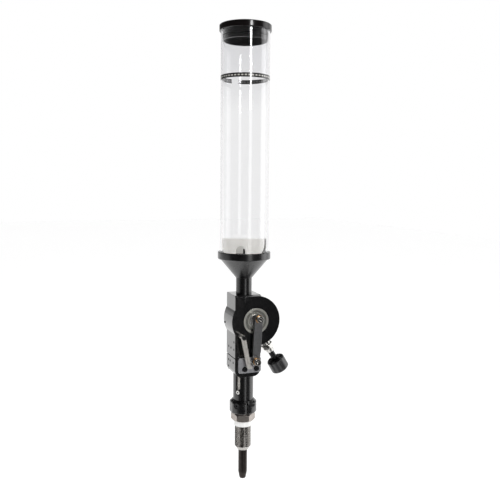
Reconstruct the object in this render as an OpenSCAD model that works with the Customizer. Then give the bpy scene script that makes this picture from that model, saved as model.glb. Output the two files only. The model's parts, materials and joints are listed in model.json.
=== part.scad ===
// Rotary-drum measure for granular powder, on a threaded die body.
// The frame's origin is on the vertical axis, at the top of the exposed die thread.
// +Z is up, -Y is the front (crank side), and the drum axis runs along Y.

/* [Die and lock nut] */
// Outer diameter of the die thread
thread_d = 22.22; // [20:0.01:24]
// Length of thread left below the seat ring
thread_len = 29.5; // [20:0.5:40]
// Overhang of the seat ring past the thread
seat_ring_lip = 1.09; // [0.8:0.01:3]
// Height of the seat ring
seat_ring_h = 7.5; // [3:0.5:10]
// Wall of the lock nut at its flats
nut_wall = 3.19; // [2.5:0.01:6]
// Height of the lock nut
nut_h = 10; // [6:0.5:14]

/* [Spout and drop sleeve] */
// Outer diameter of the spout
spout_d = 12; // [10:0.1:14.4]
// Bore of the spout
spout_bore_d = 7; // [5:0.1:8.4]
// Length of spout that stands below the die
spout_out = 41.5; // [30:0.5:60]
// Travel of the spout and its sleeve
spout_travel = 20; // [10:0.5:20]
// Room for the spring between the spout and the sleeve
spring_room = 3.65; // [3.2:0.05:5]
// Wall of the guide tube
guide_wall = 2.35; // [1.9:0.05:3]
// Width of the guide slot
slot_w = 6.2; // [5:0.1:7.5]
// Wall of the clamp collar around the guide tube
collar_wall = 4.55; // [4:0.05:7]
// Height of the clamp collar
collar_h = 17.4; // [14.5:0.1:22]

/* [Base block and housing] */
// Wall of the base block beside the guide tube
block_wall = 4.35; // [4:0.05:8]
// Height of the base block
block_h = 25.5; // [21:0.5:32]
// Radius of the base block's lower corners
block_corner_r = 10; // [2:0.5:12]
// Thickness of the gasket between block and housing
gasket_t = 1; // [0.5:0.1:2]
// Wall of the drum casing around the drum
casing_wall = 11.3; // [9.4:0.1:14]
// Height of the housing above the drum casing
casing_head = 1.6; // [1.2:0.1:10]
// Height of the housing below the drum casing
casing_foot = 14.6; // [12:0.1:24]
// Distance of the drum axis from the powder axis
drum_x = 11.5; // [9.5:0.1:13.8]

/* [Drum, bearings and crank] */
// Diameter of the drum
drum_d = 45; // [40:0.1:54]
// Width of the drum
drum_w = 19; // [15.5:0.5:23]
// Diameter of the metering chamber in the drum
chamber_d = 13; // [10:0.1:15.6]
// Outer diameter of each ball bearing
bearing_d = 35; // [29:0.1:42]
// Width of each ball bearing
bearing_w = 7; // [5.8:0.1:8.4]
// Bore of each ball bearing
bearing_bore = 17; // [14:0.1:20.4]
// Number of balls in each bearing
ball_count = 9; // [7:1:10]
// Distance of the crank's drive pin below the gasket
crank_drop = 2.8; // [0:0.1:8]
// Width of the crank arm
crank_w = 11.5; // [9.6:0.1:16]
// Thickness of the crank arm
crank_t = 5; // [4:0.1:7]
// Lean of the crank arm at rest, in degrees
crank_lean = 2.8; // [0:0.1:4]

/* [Metering adjuster] */
// Wall of the gland nut at its flats
gland_wall = 3.5; // [2.8:0.1:5]
// Diameter of the metering stem
stem_d = 8; // [6:0.1:9.6]
// Diameter of the adjuster knob
knob_d = 25; // [20:0.5:30]
// Length of the adjuster knob
knob_len = 17.5; // [12:0.5:22]
// Length of stem between the gland and the knob
stem_out = 13.5; // [11:0.5:20]
// Number of round pockets in the knob
knob_pockets = 5; // [4:1:6]

/* [Hopper] */
// Outer diameter of the clear tube
tube_d = 63.5; // [52.9:0.1:76.2]
// Wall of the clear tube
tube_wall = 2; // [1.5:0.1:3]
// Length of the clear tube
tube_len = 288.5; // [150:0.5:340]
// Wall of the funnel's flange around the tube
flange_wall = 3.25; // [2.7:0.05:7]
// Height of the funnel's flange
flange_h = 9.5; // [7.9:0.1:14]
// Height of the funnel's cone
cone_h = 25.5; // [20:0.5:35]
// Outer diameter of the funnel's neck
neck_d = 21; // [17.5:0.1:25.2]
// Wall of the funnel's neck
neck_wall = 3; // [2:0.1:3.6]
// Length of the neck between housing and cone
neck_len = 21.5; // [18:0.5:30]
// Overhang of the cap's rim past the tube
cap_lip = 1.95; // [1:0.05:5]
// Height of the cap's rim
cap_h = 8; // [6:0.1:12]
// Length of the cap's skirt inside the tube
skirt_len = 12; // [8:0.5:20]
// Height of the fill-level band
band_h = 5.3; // [3:0.1:8]
// Distance of the band's lower edge below the tube's top
band_drop = 61; // [30:1:100]

/* [Hidden] */
$fn = 96;

// Clearances
fit = 0.05;        // between pieces fastened together
run = 0.1;         // radial, on sliding and turning fits
air = 0.4;         // between pieces that only pass each other
eps = 0.5;         // overrun of a cut past a face

// Sizes that follow the pieces inside them
spring_wire = 0.6;
sleeve_wall = 1.5;
seat_ring_d = thread_d + 2 * seat_ring_lip;
nut_flats = thread_d + 2 * nut_wall;
guide_d = spout_d + 2 * (spring_room + sleeve_wall + 0.15 + guide_wall);
collar_d = guide_d + 2 * collar_wall;
block_w = guide_d + 2 * block_wall;
chamber_gap = 0.3;
bearing_web = 0.7;
block_depth = drum_w + 2 * (chamber_gap + bearing_web + bearing_w);
casing_r = drum_d / 2 + casing_wall;
drum_drop = casing_r + casing_head;
housing_h = drum_drop + casing_r + casing_foot;
flange_d = tube_d + 2 * flange_wall;
cap_d = tube_d + 2 * cap_lip;
neck_bore_d = neck_d - 2 * neck_wall;

// Heights along the powder axis
die_cone_h = 5;
die_relief_h = 1;
collar_z = seat_ring_h + nut_h + 2;
die_top = collar_z + 0.48 * collar_h;
collar_top = collar_z + collar_h;
slot_bottom = collar_top + 8;
guide_socket = 8.5;
sleeve_floor = 5;
sleeve_z = die_top + 0.2;
screw_r = slot_w / 2 - 0.3;
guide_screw_z = slot_bottom + slot_w / 2 + air;
block_z = guide_screw_z + screw_r + spout_travel + air;
sleeve_top = block_z + 4.3;
gasket_z = block_z + block_h;
housing_z = gasket_z + gasket_t;
housing_top = housing_z + housing_h;
drum_z = housing_top - drum_drop;
cone_z = housing_top + neck_len;
flange_z = cone_z + cone_h;
tube_gasket_t = 1;
tube_seat_z = flange_z + 3;
tube_z = tube_seat_z + tube_gasket_t;
tube_top = tube_z + tube_len;
band_z = tube_top - band_drop;

nut_turned = -20;

// Radii
thread_r = thread_d / 2;
spout_r = spout_d / 2;
guide_r = guide_d / 2;
guide_in = guide_r - guide_wall;
sleeve_r = guide_in - 0.15;
sleeve_in = sleeve_r - sleeve_wall;
spring_r = sleeve_in - spring_wire - 0.95;
drum_r = drum_d / 2;
tube_r = tube_d / 2;
tube_in = tube_r - tube_wall;
bearing_r = bearing_d / 2;
bore_r = bearing_bore / 2;

// Depths along Y, from the middle of the housing
half_depth = block_depth / 2;
cover_t = 2.5;
plate_t = 3.6;
hub_y = half_depth + plate_t + 0.5;
crank_y = hub_y + fit;
link_y = crank_y + crank_t;
crank_len = drum_z - gasket_z + crank_drop;

// Directions, in degrees
slot_dir = 218;
fill_angle = asin(drum_x / drum_r);
stem_dir = fill_angle - 90;
drum_travel = 180 - 2 * fill_angle;
collar_screw_dir = 220;
collar_split_dir = 270;
collar_notch_dir = 190;
collar_flat = 0.8;
baffle_dir = -20;
flange_screw_dir = 243;
band_gap_dir = 97;
band_gap = 20;

// Positions of small pieces
plate_x = 1.5;
plate_w = block_w - 4;
plate_screw_z = gasket_z - crank_drop - crank_w / 2 - 5.15;
plate_z = plate_screw_z - 5.3;
plate_h = gasket_z + 1.8 - plate_z;
plate_screw_x = plate_x + 1.3;
plate_screw_gap = plate_w - 15.6;
bolt_x = block_w / 2 - 3.7;
bolt_y = half_depth - 3.8;
bolt_r = 1.6;
bolt_head_r = 2.75;
bolt_reach = 9;
bolt_sink = block_h - 17.5;
plate_screw_r = 1.25;
side_screw_r = 1.5;
side_screw_len = 2.3;
post_x = 7 - block_w / 2;
post_z = drum_z - 17.6;
post_r = 2.9;
link_w = 5.2;
link_t = 4.8;
catch_x = -crank_w / 2 - 2;
catch_drop = 2;
catch_r = 2.2;
notch_gap = 0.45;
outlet_r = spout_r - 1.8;
outlet_bore_r = outlet_r - 1.2;
outlet_end = block_z - 20;
spout_top = outlet_end + 2;
stem_r = stem_d / 2;
gland_r = stem_r + 2;
gland_flats = stem_d + 2 * gland_wall;
gland_z = casing_r + 9.2;
gland_hex_h = 6;
gland_end = gland_z + gland_hex_h + 6;
knob_reach = gland_end + stem_out;
piston_len = 10;
feed = 5;
knob_turned = 34;

// A polygon's radius from its width across flats
function hex_r(flats) = flats / sqrt(3);

// Frame of the drum: local x is right, y is up and z is towards the front
module at_drum() {
    translate([drum_x, 0, drum_z]) rotate([90, 0, 0]) children();
}

// Frame of the metering stem: local z runs outwards along the stem
module along_stem() {
    at_drum() rotate([0, 0, stem_dir]) rotate([0, 90, 0]) children();
}

// A ring between two radii
module ring(r_out, r_in, h) {
    difference() {
        cylinder(r = r_out, h = h);
        translate([0, 0, -eps]) cylinder(r = r_in, h = h + 2 * eps);
    }
}

// A hexagonal socket, cut from z = 0 downwards
module hex_socket(flats, depth) {
    translate([0, 0, -depth]) cylinder(r = hex_r(flats), h = depth + eps, $fn = 6);
}

// A cap screw: its head stands on z = 0 and its shank goes down
module cap_screw(head_r, head_h, shank_r, shank_len, socket) {
    difference() {
        union() {
            cylinder(r = head_r, h = head_h);
            translate([0, 0, -shank_len]) cylinder(r = shank_r, h = shank_len);
        }
        translate([0, 0, head_h]) hex_socket(socket, 0.6 * head_h);
    }
}

// A socket set screw whose outer end is at z = 0
module set_screw(r, len, socket) {
    difference() {
        translate([0, 0, -len]) cylinder(r = r, h = len);
        hex_socket(socket, 0.6 * len);
    }
}

// A bar with round ends, from one point to another
module round_bar(from, to, w, h) {
    d = to - from;
    len = norm(d);
    turn = atan2(d[1], d[0]);
    translate([from[0], from[1], 0]) rotate([0, 0, turn]) linear_extrude(h) {
        translate([0, -w / 2]) square([len, w]);
        circle(d = w);
        translate([len, 0]) circle(d = w);
    }
}

// ---- Die, ring and nut ----

module die_body() {
    color("silver") difference() {
        union() {
            translate([0, 0, -thread_len - die_cone_h])
                cylinder(r1 = spout_r + 1.61, r2 = thread_r, h = die_cone_h);
            translate([0, 0, -thread_len]) cylinder(r = thread_r, h = thread_len);
            cylinder(r = thread_r - 0.9, h = die_relief_h);
            translate([0, 0, die_relief_h]) cylinder(r = thread_r, h = die_top - die_relief_h);
        }
        translate([0, 0, -thread_len - die_cone_h - eps])
            cylinder(r = spout_r + run, h = thread_len + die_cone_h + die_top + 2 * eps);
    }
}

module seat_ring() {
    color("gainsboro") ring(seat_ring_d / 2, thread_r + run, seat_ring_h - fit);
}

module lock_nut() {
    chamfer = 1.6;
    color("silver") rotate([0, 0, nut_turned]) translate([0, 0, seat_ring_h]) difference() {
        intersection() {
            cylinder(r = hex_r(nut_flats), h = nut_h, $fn = 6);
            rotate_extrude() polygon([
                [0, 0], [nut_flats / 2 - 0.3, 0], [hex_r(nut_flats), chamfer],
                [hex_r(nut_flats), nut_h - chamfer], [nut_flats / 2 - 0.3, nut_h], [0, nut_h]
            ]);
        }
        translate([0, 0, -eps]) cylinder(r = thread_r + run, h = nut_h + 2 * eps);
    }
}

// ---- Collar and guide tube ----

collar_floor_r = guide_r + 1.2;

// The frame of the collar's radial screw: z = 0 is the floor of its counterbore
module at_collar_screw() {
    rotate([0, 0, collar_screw_dir]) translate([collar_floor_r, 0, collar_z + 0.66 * collar_h])
        rotate([0, 90, 0]) children();
}

clamp_screw_z = collar_top - 6;
clamp_screw_y = -(guide_r + fit + (collar_d / 2 - guide_r - fit) / 2);
clamp_screw_r = 1.2;
clamp_head_x = 5;

module clamp_collar() {
    chamfer = 3.4;
    color("#26272a") difference() {
        translate([0, 0, collar_z]) rotate_extrude() polygon([
            [thread_r + fit, 0], [collar_d / 2 - 1, 0], [collar_d / 2, 1],
            [collar_d / 2, collar_h - chamfer], [collar_d / 2 - 3.6, collar_h],
            [guide_r + fit, collar_h], [guide_r + fit, die_top - collar_z],
            [thread_r + fit, die_top - collar_z]
        ]);
        // Split, and the screw across it
        rotate([0, 0, collar_split_dir]) translate([0, -1, collar_z - eps])
            cube([collar_d, 2, collar_h + 2 * eps]);
        translate([-7, clamp_screw_y, clamp_screw_z]) rotate([0, 90, 0])
            cylinder(r = clamp_screw_r + fit, h = 7 + clamp_head_x + eps);
        translate([clamp_head_x, clamp_screw_y, clamp_screw_z]) rotate([0, 90, 0])
            cylinder(r = 2.3, h = collar_d);
        // Seat and hole of the radial screw, and a dowel hole beside it
        at_collar_screw() {
            cylinder(r = 3.9, h = collar_d);
            translate([0, 0, -3]) cylinder(r = 1.5 + fit, h = 3 + eps);
        }
        rotate([0, 0, collar_split_dir - 14]) translate([collar_d / 2 - 2, 0, collar_z + 0.33 * collar_h])
            rotate([0, 90, 0]) cylinder(r = 0.7, h = 4);
        // Spanner flats on two sides and notches in the top rim
        for (s = [0, 180]) rotate([0, 0, s])
            translate([collar_d / 2 - collar_flat, -collar_d / 2, collar_z - eps])
                cube([collar_d, collar_d, collar_h + 2 * eps]);
        for (k = [0:2]) rotate([0, 0, collar_notch_dir + 120 * k])
            translate([guide_r + 1.5, -1.5, collar_top - 3]) cube([collar_d, 3, 5]);
    }
}

module collar_screws() {
    color("#17181a") {
        at_collar_screw() translate([0, 0, fit]) cap_screw(3.5, 2.4, 1.5, 1, 3);
        translate([clamp_head_x + fit, clamp_screw_y, clamp_screw_z]) rotate([0, 90, 0])
            cap_screw(2.1, 2.2, clamp_screw_r, clamp_head_x + 6, 1.7);
    }
}

module guide_tube() {
    top = block_z + guide_socket - fit;
    color("#202124") difference() {
        translate([0, 0, die_top]) ring(guide_r, guide_in, top - die_top);
        rotate([0, 0, slot_dir]) {
            translate([0, -slot_w / 2, slot_bottom + slot_w / 2])
                cube([guide_d, slot_w, top]);
            translate([0, 0, slot_bottom + slot_w / 2]) rotate([0, 90, 0])
                cylinder(d = slot_w, h = guide_d);
        }
    }
}

// ---- Spout, sleeve and spring ----

module drop_sleeve() {
    color("silver") difference() {
        translate([0, 0, sleeve_z]) cylinder(r = sleeve_r, h = sleeve_top - sleeve_z);
        translate([0, 0, sleeve_z + sleeve_floor]) cylinder(r = sleeve_in, h = sleeve_top);
        translate([0, 0, sleeve_z - eps]) cylinder(r = spout_r + fit, h = sleeve_floor + 2 * eps);
        rotate([0, 0, slot_dir]) translate([0, 0, guide_screw_z]) rotate([0, 90, 0])
            cylinder(r = 1.5 + fit, h = guide_d);
    }
}

module guide_screw() {
    color("silver") rotate([0, 0, slot_dir]) translate([sleeve_r + fit, 0, guide_screw_z])
        rotate([0, 90, 0]) cap_screw(screw_r, guide_r - sleeve_r, 1.5, 1.2, 2);
}

module spout() {
    tip = -thread_len - die_cone_h - spout_out;
    taper = 9.5;
    color("#2a2524") difference() {
        translate([0, 0, tip]) rotate_extrude() polygon([
            [spout_bore_d / 2, 0], [spout_bore_d / 2 + 0.4, 0], [spout_bore_d / 2 + 0.9, 0.9],
            [spout_r, taper],
            [spout_r, spout_top - tip], [outlet_r + 0.4, spout_top - tip],
            [outlet_r + 0.4, sleeve_z - tip], [spout_bore_d / 2, sleeve_z - tip - 2]
        ]);
    }
}

spring_turns = 9;
spring_z = sleeve_z + sleeve_floor + spring_wire + fit;
spring_top = housing_z - spring_wire - fit;

// One ring of the spring's wire, at a share t of its length
function spring_ring(t, sides) = [for (k = [0:sides - 1])
    let (a = 360 * spring_turns * t, b = 360 * k / sides, r = spring_r + spring_wire * cos(b))
    [r * cos(a), r * sin(a), spring_z + t * (spring_top - spring_z) + spring_wire * sin(b)]];

module return_spring() {
    sides = 6;
    steps = spring_turns * 14;
    points = [for (s = [0:steps]) each spring_ring(s / steps, sides)];
    faces = concat(
        [[for (k = [0:sides - 1]) k]],
        [for (s = [0:steps - 1], k = [0:sides - 1]) let (n = (k + 1) % sides)
            [s * sides + k, (s + 1) * sides + k, (s + 1) * sides + n, s * sides + n]],
        [[for (k = [sides - 1:-1:0]) steps * sides + k]]
    );
    color("silver") polyhedron(points = points, faces = faces, convexity = 10);
}

module outlet_tube() {
    seat = 3;
    color("gainsboro") {
        difference() {
            union() {
                translate([0, 0, outlet_end]) cylinder(r = outlet_r, h = housing_z + seat - outlet_end - fit);
                translate([0, 0, housing_z + fit]) cylinder(r = outlet_r + 2.8, h = seat - 2 * fit);
            }
            translate([0, 0, outlet_end - eps])
                cylinder(r = outlet_bore_r, h = housing_z + seat - outlet_end + 2 * eps);
        }
    }
}

// ---- Base block and front plate ----

module at_bolts() {
    for (sx = [-1, 1], sy = [-1, 1]) translate([sx * bolt_x, sy * bolt_y, 0]) children();
}

module at_plate_screws() {
    for (s = [-1, 1]) translate([plate_screw_x + s * plate_screw_gap / 2, -half_depth, plate_screw_z])
        rotate([90, 0, 0]) children();
}

// Places, as [y, z], of the set screws in the left faces
block_side_places = [[-10, gasket_z - 6.5], [2.6, gasket_z - 6.5], [9, gasket_z - 6.5], [9, gasket_z - 15.5]];
housing_side_places = [[-12.6, housing_z + 11], [-0.6, housing_z + 11], [8.6, housing_z + 11],
    [-12.6, housing_z + 21]];

// A small screw in the casing's left side, near the back
module at_casing_screw() {
    at_drum() rotate([0, 0, 189]) translate([casing_r, 0, 3.6 - half_depth])
        rotate([0, 90, 0]) children();
}

module at_side(places) {
    for (p = places) translate([-block_w / 2, p[0], p[1]]) rotate([0, -90, 0]) children();
}

module base_block() {
    color("#232427") difference() {
        translate([0, half_depth, 0]) rotate([90, 0, 0]) linear_extrude(block_depth) {
            translate([-block_w / 2, block_z + block_corner_r])
                square([block_w, block_h - block_corner_r]);
            translate([-block_w / 2 + block_corner_r, block_z])
                square([block_w - 2 * block_corner_r, block_corner_r + eps]);
            for (s = [-1, 1])
                translate([s * (block_w / 2 - block_corner_r), block_z + block_corner_r])
                    circle(r = block_corner_r);
        }
        translate([0, 0, block_z - eps]) cylinder(r = guide_r + fit, h = guide_socket + eps);
        translate([0, 0, block_z]) cylinder(r = guide_in, h = block_h + eps);
        at_bolts() {
            translate([0, 0, block_z - eps]) cylinder(r = bolt_head_r + 0.1, h = bolt_sink + eps);
            translate([0, 0, block_z]) cylinder(r = bolt_r + fit, h = block_h + eps);
        }
        at_plate_screws() translate([0, 0, -6]) cylinder(r = plate_screw_r + fit, h = 6 + eps);
        at_side(block_side_places) translate([0, 0, -side_screw_len - 0.5])
            cylinder(r = side_screw_r + fit, h = side_screw_len + 1);
    }
}

module block_side_screws() {
    color("#101113") at_side(block_side_places) translate([0, 0, -0.3])
        set_screw(side_screw_r, side_screw_len, 1.5);
}

module tie_bolts() {
    color("#17181a") at_bolts() translate([0, 0, block_z + bolt_sink]) rotate([180, 0, 0])
        cap_screw(bolt_head_r, 3.2, bolt_r, block_h - bolt_sink + gasket_t + bolt_reach - 0.5, 2.5);
}

module front_plate() {
    r = 3;
    color("#8d9196") difference() {
        translate([plate_x, -half_depth - fit, plate_z]) rotate([90, 0, 0])
            linear_extrude(plate_t - fit) {
                translate([-plate_w / 2 + r, 0]) square([plate_w - 2 * r, plate_h]);
                translate([-plate_w / 2, r]) square([plate_w, plate_h - 2 * r]);
                for (sx = [-1, 1], z = [r, plate_h - r])
                    translate([sx * (plate_w / 2 - r), z]) circle(r = r);
            }
        at_plate_screws() cylinder(r = plate_screw_r + fit, h = 2 * plate_t);
        at_plate_screws() translate([0, 0, plate_t - 1.2]) cylinder(r = 3.5, h = 2 * plate_t);
    }
}

module plate_screws() {
    color("#17181a") at_plate_screws() translate([0, 0, plate_t - 1.2 + fit])
        cap_screw(3.2, 3, plate_screw_r, plate_t + 3.4, 3);
}

module seam_gasket() {
    inset = 1.2;
    color("#0c0c0d") translate([0, 0, gasket_z + 0.02]) difference() {
        translate([-block_w / 2 + inset, -half_depth + inset, 0])
            cube([block_w - 2 * inset, block_depth - 2 * inset, gasket_t - 0.04]);
        translate([0, 0, -eps]) cylinder(r = guide_in, h = gasket_t + 2 * eps);
        at_bolts() translate([0, 0, -eps]) cylinder(r = bolt_r + fit, h = gasket_t + 2 * eps);
    }
}

// ---- Housing ----

window_margin = asin((gland_r + air) / drum_r) + 1;
neck_seat = 8;
top_chamfer = 2;
cover_bolts = 6;
cover_r = drum_r + 7;

module at_cover_screws() {
    at_drum() for (k = [0:cover_bolts - 1]) rotate([0, 0, 20 + 360 / cover_bolts * k])
        translate([drum_r + 3.5, 0, -half_depth - cover_t]) rotate([180, 0, 0]) children();
}

module housing() {
    wall = half_depth - drum_w / 2 - chamber_gap;
    color("#1b1c1f") difference() {
        union() {
            translate([-block_w / 2, -half_depth, housing_z]) cube([block_w, block_depth, housing_h]);
            at_drum() translate([0, 0, -half_depth]) cylinder(r = casing_r, h = block_depth);
        }
        // Drum chamber, open to the back, and the front bearing's seat
        at_drum() translate([0, 0, -half_depth - eps])
            cylinder(r = drum_r + chamber_gap, h = block_depth - wall + eps);
        at_drum() cylinder(r = bearing_r - 2.5, h = block_depth);
        at_drum() translate([0, 0, half_depth - bearing_w]) cylinder(r = bearing_r + fit, h = bearing_w + eps);
        // Window in the rim, through which the metering stem swings
        at_drum() rotate([0, 0, stem_dir - window_margin])
            rotate_extrude(angle = drum_travel + 2 * window_margin)
                translate([drum_r - 3, -gland_r - 0.8]) square([casing_r, 2 * gland_r + 1.6]);
        // Neck socket, powder inlet and powder outlet
        translate([0, 0, housing_top - neck_seat]) cylinder(d = neck_d + 2 * fit, h = neck_seat + eps);
        translate([0, 0, drum_z]) cylinder(d = chamber_d, h = drum_drop);
        translate([0, 0, housing_z - eps]) cylinder(r = outlet_bore_r, h = drum_z - housing_z);
        translate([0, 0, drum_z - drum_r - 4]) cylinder(r1 = outlet_bore_r, r2 = chamber_d / 2 + 1, h = 10);
        translate([0, 0, housing_z - eps]) cylinder(r = outlet_r + 2.8 + fit, h = 3 + eps);
        // Screw holes
        at_bolts() translate([0, 0, housing_z - eps]) cylinder(r = bolt_r + fit, h = bolt_reach + eps);
        at_side(housing_side_places) translate([0, 0, -side_screw_len - 0.5])
            cylinder(r = side_screw_r + fit, h = side_screw_len + 1);
        at_casing_screw() translate([0, 0, -3]) cylinder(r = 1.3 + fit, h = 3 + eps);
        at_cover_screws() translate([0, 0, -cover_t - 5.5]) cylinder(r = 1.5 + fit, h = 6);
        translate([0, half_depth, housing_top - 4]) rotate([-90, 0, 0])
            translate([0, 0, -block_depth / 2]) cylinder(r = 2 + fit, h = block_depth / 2 + eps);
        translate([post_x, -half_depth, post_z]) rotate([90, 0, 0])
            translate([0, 0, -5]) cylinder(r = 2 + fit, h = 5 + eps);
        // Index line on the front, and the chamfer of the front top edge
        translate([-4.2, -half_depth - eps, housing_top - 9]) cube([1, eps + 0.4, 9 + eps]);
        translate([0, -half_depth, housing_top]) rotate([45, 0, 0])
            cube([4 * casing_r, top_chamfer * sqrt(2), top_chamfer * sqrt(2)], center = true);
    }
}

module housing_side_screws() {
    color("#101113") {
        at_side(housing_side_places) translate([0, 0, -0.3]) set_screw(side_screw_r, side_screw_len, 1.5);
        at_casing_screw() translate([0, 0, 0.8]) set_screw(1.3, 3.4, 1.3);
    }
}

module rear_cover() {
    spigot = block_depth / 2 - drum_w / 2 - chamber_gap;
    color("#202124") difference() {
        at_drum() union() {
            translate([0, 0, -half_depth - cover_t]) cylinder(r = cover_r, h = cover_t - fit);
            translate([0, 0, -half_depth - fit])
                cylinder(r = drum_r + chamber_gap - fit, h = spigot + fit);
        }
        at_drum() translate([0, 0, -half_depth]) cylinder(r = bearing_r + fit, h = bearing_w);
        at_drum() translate([0, 0, -half_depth - cover_t - eps])
            cylinder(r = bearing_r - 2.5, h = block_depth);
        at_cover_screws() translate([0, 0, -cover_t - eps]) cylinder(r = 1.5 + fit, h = cover_t + 2 * eps);
    }
}

module rear_cover_screws() {
    color("#101113") at_cover_screws() translate([0, 0, fit]) cap_screw(2.75, 2.6, 1.5, cover_t + 5, 2.5);
}

module neck_screw() {
    reach = neck_d / 2 + 2 * fit;
    color("#101113") translate([0, half_depth - 0.3, housing_top - 4]) rotate([-90, 0, 0])
        set_screw(2, half_depth - 0.3 - reach, 2);
}

// ---- Bearings ----

pitch_r = (bearing_r + bore_r) / 2;
ball_r = 2.3;
race_gap = 1.6;

// Frame of a bearing: s is 1 at the front and -1 at the back, and local z = 0 is its middle
module at_bearing(s) {
    at_drum() translate([0, 0, s * (half_depth - bearing_w / 2)]) children();
}

module bearing_outer(s) {
    color("gainsboro") at_bearing(s) difference() {
        translate([0, 0, -bearing_w / 2]) ring(bearing_r, pitch_r + race_gap, bearing_w - fit);
        rotate_extrude() translate([pitch_r, 0]) circle(r = ball_r + run);
    }
}

module bearing_inner(s) {
    color("gainsboro") at_bearing(s) difference() {
        translate([0, 0, -bearing_w / 2]) ring(pitch_r - race_gap, bore_r + fit, bearing_w - fit);
        rotate_extrude() translate([pitch_r, 0]) circle(r = ball_r + run);
    }
}

module bearing_balls(s) {
    color("silver") at_bearing(s) for (k = [0:ball_count - 1])
        rotate([0, 0, 360 / ball_count * k]) translate([pitch_r, 0, 0]) sphere(r = ball_r, $fn = 32);
}

module bearing_cage(s) {
    color("goldenrod") at_bearing(s) translate([0, 0, s * 2.7 - 0.35])
        ring(pitch_r + race_gap - 0.4, pitch_r - race_gap + 0.4, 0.7);
}

// ---- Drum and crank ----

module rotor_drum() {
    stub = half_depth + 0.3;
    color("silver") difference() {
        union() {
            at_drum() translate([0, 0, -drum_w / 2]) cylinder(r = drum_r, h = drum_w);
            at_drum() translate([0, 0, -stub]) cylinder(r = bore_r, h = 2 * stub);
        }
        along_stem() translate([0, 0, -drum_r - eps])
            cylinder(d = chamber_d, h = drum_r + 4 + eps);
        along_stem() cylinder(r = gland_r + fit, h = drum_r + eps);
    }
}

module drive_hub() {
    color("gainsboro") at_drum() difference() {
        union() {
            translate([0, 0, half_depth + 0.35]) cylinder(r = bore_r + 1.1, h = 1.4);
            translate([0, 0, half_depth + 0.35]) cylinder(r = 7.6, h = hub_y - half_depth - 0.35);
        }
        rotate([0, 0, -crank_lean]) translate([0, crank_head, half_depth - 1])
            cylinder(r = 1.9 + fit, h = hub_y);
    }
}

// The crank's frame: local y runs up along the arm, and z = 0 is the arm's back
module at_crank() {
    at_drum() rotate([0, 0, -crank_lean]) translate([0, 0, crank_y]) children();
}

crank_head = 5;
crank_step = 8;
catch_y = -crank_len - catch_drop;

module crank_arm() {
    lug_t = 2.4;
    color("#5a5b5e") at_crank() difference() {
        union() {
            round_bar([0, crank_head], [0, -crank_len + crank_step + crank_w / 2], crank_w, crank_t);
            round_bar([0, -crank_len + crank_w], [0, -crank_len], crank_w - 1, crank_t - 1.2);
            round_bar([0, -crank_len], [catch_x, catch_y], 2 * catch_r + 1.6, lug_t);
        }
        translate([0, crank_head, -eps]) cylinder(r = 1.9 + fit, h = crank_t + 2 * eps);
        translate([0, -crank_len, -eps]) cylinder(r = 1.9 + fit, h = crank_t + 2 * eps);
        translate([catch_x, catch_y, -eps]) cylinder(r = 1.2 + fit, h = crank_t);
    }
}

module arm_bush() {
    color("#b5793c") at_crank() translate([0, crank_head, crank_t + fit]) ring(crank_w / 2 - 0.75, 1.9 + fit, 1.4);
}

module arm_screw() {
    color("silver") at_crank() translate([0, crank_head, crank_t + 1.4 + 2 * fit])
        cap_screw(crank_w / 2 - 1.45, 5.2, 1.9, crank_t + hub_y - half_depth, 4);
}

module drive_bush() {
    color("#b5793c") at_crank() translate([0, -crank_len, crank_t - 1.2 + fit]) ring(crank_w / 2 - 0.85, 1.9 + fit, 2.2);
}

module drive_pin() {
    color("silver") at_crank() translate([0, -crank_len, crank_t + 1 + 2 * fit])
        cap_screw(crank_w / 2 - 1.45, 5.4, 1.9, crank_t + 1, 4);
}

module catch_pin() {
    color("silver") at_crank() translate([catch_x, catch_y, 0]) difference() {
        union() {
            translate([0, 0, 2.4 + fit]) cylinder(r = catch_r, h = crank_t + link_t - 2.4 + 0.6);
            cylinder(r = 1.2, h = 2.4 + 2 * fit);
        }
        translate([0, 0, crank_t + link_t + 0.6]) hex_socket(2, 1.5);
    }
}

// ---- Metering adjuster ----

module metering_gland() {
    color("silver") along_stem() difference() {
        union() {
            translate([0, 0, 5]) cylinder(r = gland_r, h = gland_z - 5);
            intersection() {
                translate([0, 0, gland_z]) cylinder(r = hex_r(gland_flats), h = gland_hex_h, $fn = 6);
                translate([0, 0, gland_z]) cylinder(r1 = hex_r(gland_flats) + 3.4, r2 = gland_flats / 2 - 0.2,
                    h = gland_hex_h);
            }
            translate([0, 0, gland_z + gland_hex_h])
                cylinder(r1 = gland_r + 0.4, r2 = stem_r + 0.8, h = gland_end - gland_z - gland_hex_h);
        }
        cylinder(r = stem_r + run, h = gland_end + eps);
    }
}

module metering_piston() {
    color("silver") along_stem() translate([0, 0, -drum_r + 5 + feed]) difference() {
        cylinder(d = chamber_d - 2 * run, h = piston_len - feed);
        translate([0, 0, piston_len - feed - 2]) cylinder(r = 2.2, h = 3);
    }
}

module metering_stem() {
    start = -drum_r + 5 + piston_len - 1.8;
    color("#141416") along_stem() union() {
        translate([0, 0, start]) cylinder(r = 2.05, h = 8 - start);
        translate([0, 0, 8]) cylinder(r = stem_r, h = knob_reach + 6 - 8);
    }
}

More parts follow.
